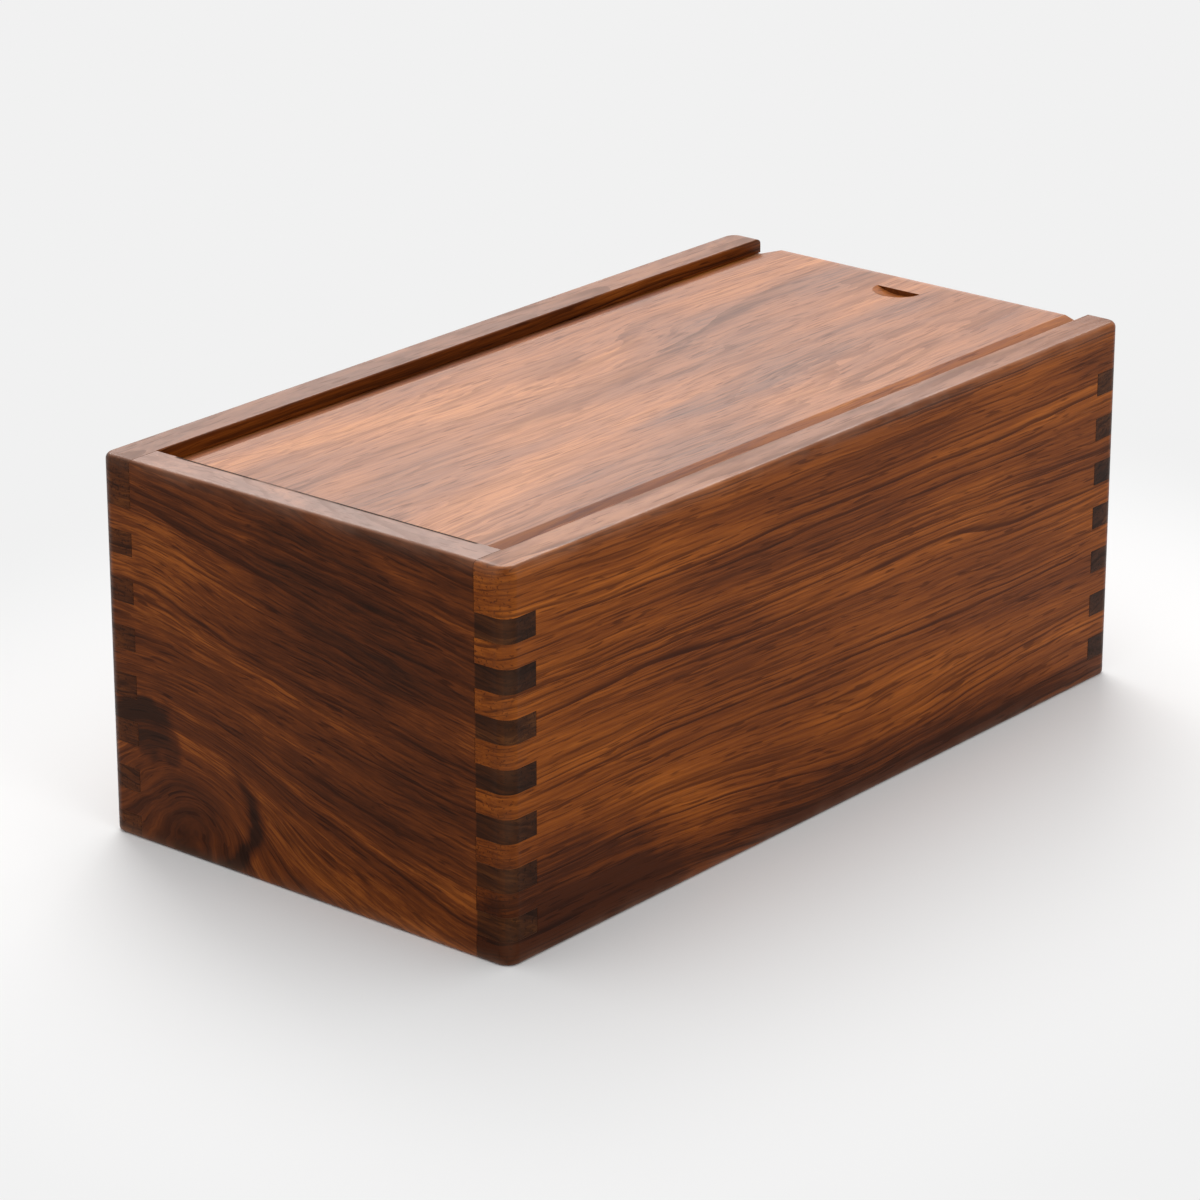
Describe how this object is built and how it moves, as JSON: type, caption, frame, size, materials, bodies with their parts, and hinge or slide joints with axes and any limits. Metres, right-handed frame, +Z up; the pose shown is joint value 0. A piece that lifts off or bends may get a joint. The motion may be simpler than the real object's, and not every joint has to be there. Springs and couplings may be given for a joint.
{
  "type": "sliding-lid chess box",
  "caption": "Long wooden case with finger-jointed corners, a bevelled lid that slides out at one end, and a divided, baize-floored interior for chess pieces.",
  "frame": {"origin": "centre of the closed box's underside", "axes": "+X along the box towards the end where the lid slides out, +Z up, +Y to the left side wall"},
  "size_m": [0.295, 0.155, 0.118],
  "materials": {
    "rosewood_ends": "satin",
    "rosewood_sides": "satin",
    "rosewood_lid": "satin",
    "rosewood_divider": "satin",
    "floor_board": "matte",
    "baize": "matte"
  },
  "bodies": {
    "case": {"near_end_wall": "rosewood_ends", "far_end_wall": "rosewood_ends", "right_side_wall": "rosewood_sides", "left_side_wall": "rosewood_sides", "bottom_panel": "floor_board", "divider": "rosewood_divider", "near_floor_baize": "baize", "far_floor_baize": "baize"},
    "lid": {"lid": "rosewood_lid"}
  },
  "joints": [
    {"name": "lid_slide", "type": "slide", "parent": "case", "child": "lid", "axis": [1, 0, 0], "range_m": [0, 0.289]}
  ]
}
